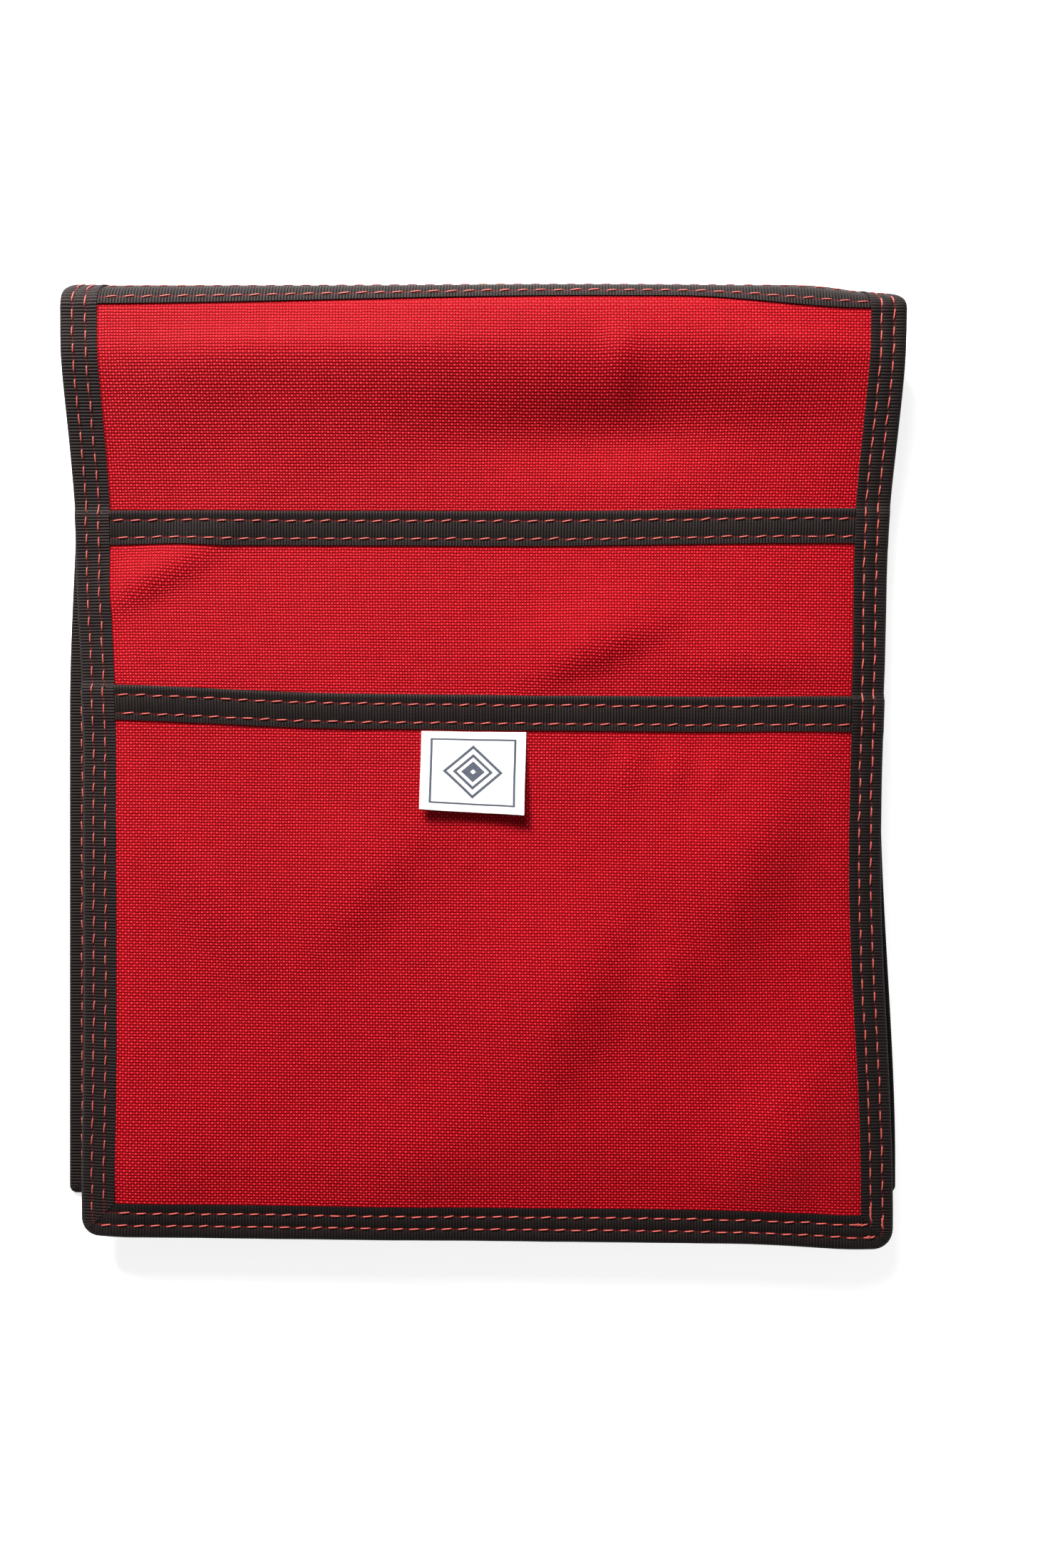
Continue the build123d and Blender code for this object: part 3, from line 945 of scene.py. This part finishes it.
class BLANKET_OT_sleeve(Operator):
    """Sew the blanket's sleeve on the inside of the back leaf"""

    bl_idname = "blanket.sleeve"
    bl_label = "Sleeve"

    def execute(self, context):
        low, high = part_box("sleeve_gusset")
        roof_low, roof_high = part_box("sleeve_roof")
        mouth_low, mouth_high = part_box("sleeve_mouth_binding")
        half = roof_high[0] - CLOTH / 2
        mouth = mouth_low[1]
        far = roof_high[1] - CLOTH / 2
        corner = 0.007
        straight = far - corner - mouth
        turn = corner * math.pi / 2
        length = 2 * (straight + turn) + 2 * (half - corner)
        foot, top = low[2] + CLOTH / 2, roof_low[2] - CLOTH / 2
        flange = high[0] - roof_high[0]
        roof_crown, roof_wave = 0.0004, 0.00015

        def wall_line(distance):
            """Points up one side, across and down the other, and the way outwards at each."""
            d = np.asarray(distance, float)
            marks = np.cumsum([0, straight, turn, 2 * (half - corner), turn, straight])
            angle = np.radians(np.interp(d, marks, [180, 180, 90, 90, 0, 0]))
            x = np.interp(d, marks, (half - corner) * np.array([-1, -1, -1, 1, 1, 1]))
            y = np.interp(d, marks, [mouth, *[far - corner] * 4, mouth])
            out = np.stack([np.cos(angle), np.sin(angle)], axis=-1)
            return np.stack([x, y], axis=-1) + corner * out, out

        def gusset(a, b):
            line, out = wall_line(b * length)
            climb = np.interp(a, [0.0, 0.42, 0.52, 1.0], [0.0, 0.0, 0.10, 1.0])
            aside = np.interp(a, [0.0, 0.42, 0.52, 1.0], [flange, 0.0007, 0.0, 0.0])
            bulge = 0.0007 * np.sin(math.pi * climb) * (0.6 + 0.4 * np.sin(b * 70))
            place = line + out * (aside + bulge)[:, None]
            z = foot + climb * (top - foot) + 0.00012 * np.sin(b * 220) * ease((0.3 - a) / 0.3)
            return np.column_stack([place, z]), (aside + climb * (top - foot), b * length)

        wall = lay_cloth("sleeve_gusset_cloth", 22, 300, gusset, CLOTH)
        dress(wall, "red_cloth", BODY_BACK, ["sleeve_gusset"])

        roof_z = (roof_low[2] + roof_high[2]) / 2
        outer_half, outer_far = half + CLOTH / 2, far + CLOTH / 2

        def roof_point(x, y, level):
            flat_side = outer_half - np.abs(x)
            side, end = round_off(flat_side, outer_far - y, corner)
            x, y = np.sign(x) * (outer_half - side), outer_far - end
            crown = roof_crown * np.cos(x / outer_half * math.pi / 2) * ease((outer_far - y) / 0.03)
            wave = roof_wave * np.sin(x * 90 + 2 * np.sin(y * 60)) * ease(flat_side / 0.02)
            return np.stack([x, y, roof_z + crown + wave + level], axis=-1)

        def roof(a, b):
            x = (2 * a - 1) * outer_half
            y = mouth + TAPE + b * (outer_far - mouth - TAPE)
            return roof_point(x, y, 0.0), (x, y)

        panel = lay_cloth("sleeve_roof_cloth", 90, 90, roof, CLOTH)
        dress(panel, "red_cloth", BODY_BACK, ["sleeve_roof"])


        def mouth_tape(a, b):
            reach, level = wrap(a, -TAPE_LEVEL, TAPE_LEVEL, BAND_ROWS)
            x = (2 * b - 1) * mouth_high[0]
            return roof_point(x, mouth + reach, level), tape_where(a, reach, x)

        tape = lay_cloth("sleeve_mouth_tape", 60, 130, mouth_tape, TAPE)
        dress(tape, "band_tape", BODY_BACK, ["sleeve_mouth_binding"])

        pitch, long = settings().stitch_pitch, settings().stitch

        def flange_row(distance, aside, lift):
            line, out = wall_line(distance)
            place = line + out * (flange * 0.55 + aside)[:, None]
            return np.column_stack([place, foot + CLOTH / 2 + lift])

        def roof_row(distance, aside, lift):
            line, out = wall_line(distance)
            place = line + out * (aside - 0.0022)[:, None]
            return roof_point(place[:, 0], place[:, 1], CLOTH / 2 + lift)

        def mouth_row(row):
            def path(distance, aside, lift):
                x = -mouth_high[0] + distance
                return roof_point(x, mouth + row + aside, TAPE_LEVEL + SEWN + lift)

            return row_of_stitches(path, 2 * mouth_high[0], pitch, long, 0.0003)

        rows = [mouth_row(row) for row in BAND_ROWS]
        rows.append(row_of_stitches(flange_row, length, pitch * 0.8, long * 0.78))
        rows.append(row_of_stitches(roof_row, length - 0.002, pitch * 0.8, long * 0.78))
        thread = sew("sleeve_thread", rows, 9)
        dress(thread, "sewing_thread", BODY_BACK, ["sleeve_stitches"])
        return {"FINISHED"}


class BLANKET_OT_blanket(Operator):
    """Fold the glass-fibre blanket and sew on its two pull tapes"""

    bl_idname = "blanket.blanket"
    bl_label = "Blanket and pull tapes"

    def execute(self, context):
        low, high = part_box("folded_blanket")
        leaves = 8
        pitch = (high[2] - low[2]) / leaves
        near, far = low[1] + pitch / 2, high[1] - pitch / 2
        straight = far - near
        bend = math.pi * pitch / 2
        length = leaves * straight + (leaves - 1) * bend
        ripple_depth, crease_depth = 0.00022, 0.00040
        draw = random.Random(11)
        ends = [(draw.uniform(0.0, 0.0016), draw.uniform(0.0, 0.0022)) for _ in range(leaves)]

        def pack(a, b):
            d = b * length
            leaf = np.minimum((d / (straight + bend)).astype(int), leaves - 1)
            into = d - leaf * (straight + bend)
            forward = leaf % 2 == 0
            lie_y = np.where(forward, far - into, near + into)
            turning = into > straight
            angle = np.clip((into - straight) / bend, 0, 1) * math.pi
            turn_y = np.where(forward, near - pitch / 2 * np.sin(angle), far + pitch / 2 * np.sin(angle))
            y = np.where(turning, turn_y, lie_y)
            z = low[2] + pitch / 2 + leaf * pitch + np.where(turning, pitch / 2 * (1 - np.cos(angle)), 0.0)
            short_near = np.array([end[0] for end in ends])[leaf // 2 * 2]
            y = y + short_near * ease((near + 0.06 - y) / 0.06)
            half = (high[0] - low[0]) / 2 - np.array([end[1] for end in ends])[leaf]
            x = (2 * a - 1) * half
            soft_side = 1 - 0.10 * ease((np.abs(2 * a - 1) - 0.93) / 0.07)
            middle_z = (low[2] + high[2]) / 2
            z = middle_z + (z - middle_z) * soft_side
            z = z + 0.00008 * np.sin(x * 160 + leaf * 2.1) * np.sin(y * 120 + leaf)
            ripple = 1 + np.sin(x * 58 + 2 * np.sin(y * 26)) * np.sin(y * 41 + 1.6 * np.sin(x * 33))
            crease = np.exp(-((x / 0.003) ** 2)) + 0.7 * np.exp(-(((y - 0.5 * (near + far)) / 0.0035) ** 2))
            z = z - (z - low[2]) / (high[2] - low[2]) * (ripple_depth * ripple + crease_depth * crease)
            return np.stack([x, y, z], axis=-1), (x, d)

        folded = lay_cloth("blanket_pack", 40, 560, pack, pitch * 0.86)
        dress(folded, "glass_cloth", "blanket", ["folded_blanket"])

        for side, name in ((-1, "left"), (1, "right")):
            tape_low, tape_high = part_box(f"{name}_pull_tape")
            middle = (tape_low[0] + tape_high[0]) / 2
            wide = tape_high[0] - tape_low[0]
            thick = 0.0012
            bend_r = (tape_high[2] - tape_low[2] - thick) / 2
            inner_end = tape_high[1] + 0.003
            reach = inner_end - tape_low[1] - thick / 2 - bend_r
            centre_z = (tape_low[2] + tape_high[2]) / 2
            total = 2 * reach + math.pi * bend_r

            def loop(a, b, side=side, middle=middle):
                d = b * total
                angle = np.clip((d - reach) / bend_r, 0, math.pi)
                y_in = inner_end - np.minimum(d, reach) + np.clip(d - total + reach, 0, None)
                y = y_in - bend_r * np.sin(angle)
                z = centre_z - bend_r * np.cos(angle)
                out = ease((tape_high[1] - y) / 0.022)
                x = middle + (a - 0.5) * wide + side * 0.0011 * out
                z = z - 0.0010 * out + 0.00022 * np.sin(a * math.pi) * out
                return np.stack([x, y, z], axis=-1), ((a - 0.5) * wide, d)

            tape = lay_cloth(f"{name}_pull_tape_webbing", 16, 60, loop, thick)
            dress(tape, "pull_webbing", "blanket", [f"{name}_pull_tape"])
        return {"FINISHED"}


# ---- Operator: the stage ----


FLOOR_SIZE = 24.0
FLOOR_DROP = 0.0002
CAMERA_PLACE = (0.014, -0.0076)
SENSOR = 36.0
SUN = (1.0, 0.985, 0.96)


class BLANKET_OT_stage(Operator):
    """Set the pale floor, the soft lights and the camera overhead"""

    bl_idname = "blanket.stage"
    bl_label = "Floor, lights and camera"

    def area_light(self, name, place, target, size, power, colour):
        """Adds a square light that points at a place."""
        deselect()
        bpy.ops.object.light_add(type="AREA", location=place)
        lamp = bpy.context.object
        lamp.name = name
        lamp.data.shape = "SQUARE"
        lamp.data.size = size
        lamp.data.energy = power
        lamp.data.color = colour
        away = lamp.location - Vector(target)
        lamp.rotation_euler = away.to_track_quat("Z", "Y").to_euler()

    def execute(self, context):
        stage = context.scene.blanket_stage
        deselect()
        bpy.ops.mesh.primitive_plane_add(size=FLOOR_SIZE, location=(0, 0, -FLOOR_DROP))
        floor = context.object
        floor.name = "floor"
        finish = Finish("floor_paper")
        speck = finish.noise(40.0, 3.0)
        paper = finish.mix(speck, (0.90, 0.90, 0.90, 1), (0.94, 0.94, 0.94, 1))
        finish.shader.inputs["Emission Color"].default_value = (1.0, 1.0, 1.0, 1.0)
        finish.shader.inputs["Emission Strength"].default_value = stage.floor_glow
        floor.data.materials.append(finish.finish(paper, 0.9))

        height = stage.camera_height
        bpy.ops.object.camera_add(location=(*CAMERA_PLACE, height), rotation=(0, 0, 0))
        camera = context.object
        camera.name = "overhead_camera"
        camera.data.sensor_width = SENSOR
        camera.data.lens = SENSOR * height / stage.field
        camera.data.clip_start = 0.01
        context.scene.camera = camera

        self.area_light("key_light", (-1.10, 2.31, 1.19), (0, 0, 0), 0.66, stage.key, SUN)
        self.area_light("near_light", (-0.10, 0.55, 0.42), (0, 0.04, 0), 0.25, stage.near, SUN)
        self.area_light("fill_light", (0.8, -0.5, 1.2), (0, 0, 0), 1.2, stage.fill, (0.97, 0.98, 1.0))
        world = bpy.data.worlds.new("soft_room")
        context.scene.world = world
        world.use_nodes = True
        world.node_tree.nodes["Background"].inputs["Color"].default_value = (1.0, 1.0, 1.0, 1.0)
        world.node_tree.nodes["Background"].inputs["Strength"].default_value = stage.room
        context.scene.view_settings.view_transform = "Standard"
        return {"FINISHED"}


# ---- Settings and panel ----


def length_setting(name, description, default, precision=2):
    """A setting that is a length."""
    return FloatProperty(
        name=name, description=description, default=default, precision=precision, unit="LENGTH"
    )


def colour_setting(name, description, default):
    """A setting that is a colour."""
    return FloatVectorProperty(name=name, description=description, default=default, subtype="COLOR")


def power_setting(name, description, default):
    """A setting that is a light's power."""
    return FloatProperty(name=name, description=description, default=default, unit="POWER")


class BlanketSizes(PropertyGroup):
    """Sizes of the yarns and stitches"""

    weave: length_setting("Weave pitch", "From one yarn of the red cloth to the next", 0.00103, 5)
    rib: length_setting("Rib pitch", "From one rib of the binding tape to the next", 0.00108, 5)
    thread: length_setting("Thread", "Diameter of the sewing thread", 0.00056, 5)
    stitch_pitch: length_setting("Stitch pitch", "From one stitch to the next", 0.0063, 4)
    stitch: length_setting("Stitch", "Visible length of one stitch", 0.0047, 4)


class BlanketColours(PropertyGroup):
    """Colours of the cloths, tapes and threads"""

    cloth: colour_setting("Cloth", "Red nylon", (0.49, 0.0020, 0.009))
    # Painted highlight colour for the lit tops of the yarns.
    crown_highlight: colour_setting("Cloth crown", "Lit tops of the yarns", (0.92, 0.082, 0.110))
    tape: colour_setting("Tape", "Binding tape and webbing", (0.0092, 0.0062, 0.0062))
    thread: colour_setting("Thread", "Top of the stitches", (0.47, 0.070, 0.056))
    thread_shadow: colour_setting("Thread shadow", "Thread between the stitches", (0.09, 0.006, 0.008))
    glass: colour_setting("Glass cloth", "Glass-fibre blanket", (0.57, 0.56, 0.50))
    label: colour_setting("Label", "Label's ground", (0.90, 0.90, 0.90))
    mark: colour_setting("Mark", "Label's woven pattern", (0.045, 0.06, 0.10))


class BlanketStage(PropertyGroup):
    """Camera and lights"""

    camera_height: length_setting("Camera height", "Above the floor", 0.56)
    field: length_setting("Field", "Length of floor that the camera sees", 0.572)
    key: power_setting("Key light", "Power of the far light at the upper left", 196.0)
    near: power_setting("Near light", "Power of the near light beyond the fold", 3.4)
    fill: power_setting("Fill light", "Power of the light at the lower right", 3.0)
    room: FloatProperty(name="Room light", description="Strength of the even light all round", default=0.125)
    floor_glow: FloatProperty(
        name="Floor glow", description="Light that the floor gives off, which softens shadows", default=0.72
    )


PIECES = (
    BLANKET_OT_base_sheet,
    BLANKET_OT_pockets,
    BLANKET_OT_pocket_bands,
    BLANKET_OT_front_bindings,
    BLANKET_OT_back_bindings,
    BLANKET_OT_stitches,
    BLANKET_OT_label,
    BLANKET_OT_sleeve,
    BLANKET_OT_blanket,
    BLANKET_OT_stage,
)


class BLANKET_PT_panel(Panel):
    """The carrier's settings and its operators, in the order they are run"""

    bl_label = "Fire blanket carrier"
    bl_idname = "BLANKET_PT_panel"
    bl_space_type = "VIEW_3D"
    bl_region_type = "UI"
    bl_category = "Blanket"

    def draw(self, context):
        scene = context.scene
        for group in (scene.blanket_sizes, scene.blanket_colours, scene.blanket_stage):
            column = self.layout.column()
            for name in group.__annotations__:
                column.prop(group, name)
        for piece in PIECES:
            self.layout.operator(piece.bl_idname)


GROUPS = (
    ("blanket_sizes", BlanketSizes),
    ("blanket_colours", BlanketColours),
    ("blanket_stage", BlanketStage),
)


def register():
    """Registers the settings, the operators and the panel."""
    for name, group in GROUPS:
        bpy.utils.register_class(group)
        setattr(bpy.types.Scene, name, PointerProperty(type=group))
    for piece in PIECES:
        bpy.utils.register_class(piece)
    bpy.utils.register_class(BLANKET_PT_panel)


def unregister():
    """Takes back what register added."""
    bpy.utils.unregister_class(BLANKET_PT_panel)
    for piece in reversed(PIECES):
        bpy.utils.unregister_class(piece)
    for name, group in reversed(GROUPS):
        delattr(bpy.types.Scene, name)
        bpy.utils.unregister_class(group)


def main():
    """Builds the whole scene."""
    register()
    for piece in PIECES:
        group, name = piece.bl_idname.split(".")
        getattr(getattr(bpy.ops, group), name)()


if __name__ == "__main__":
    main()
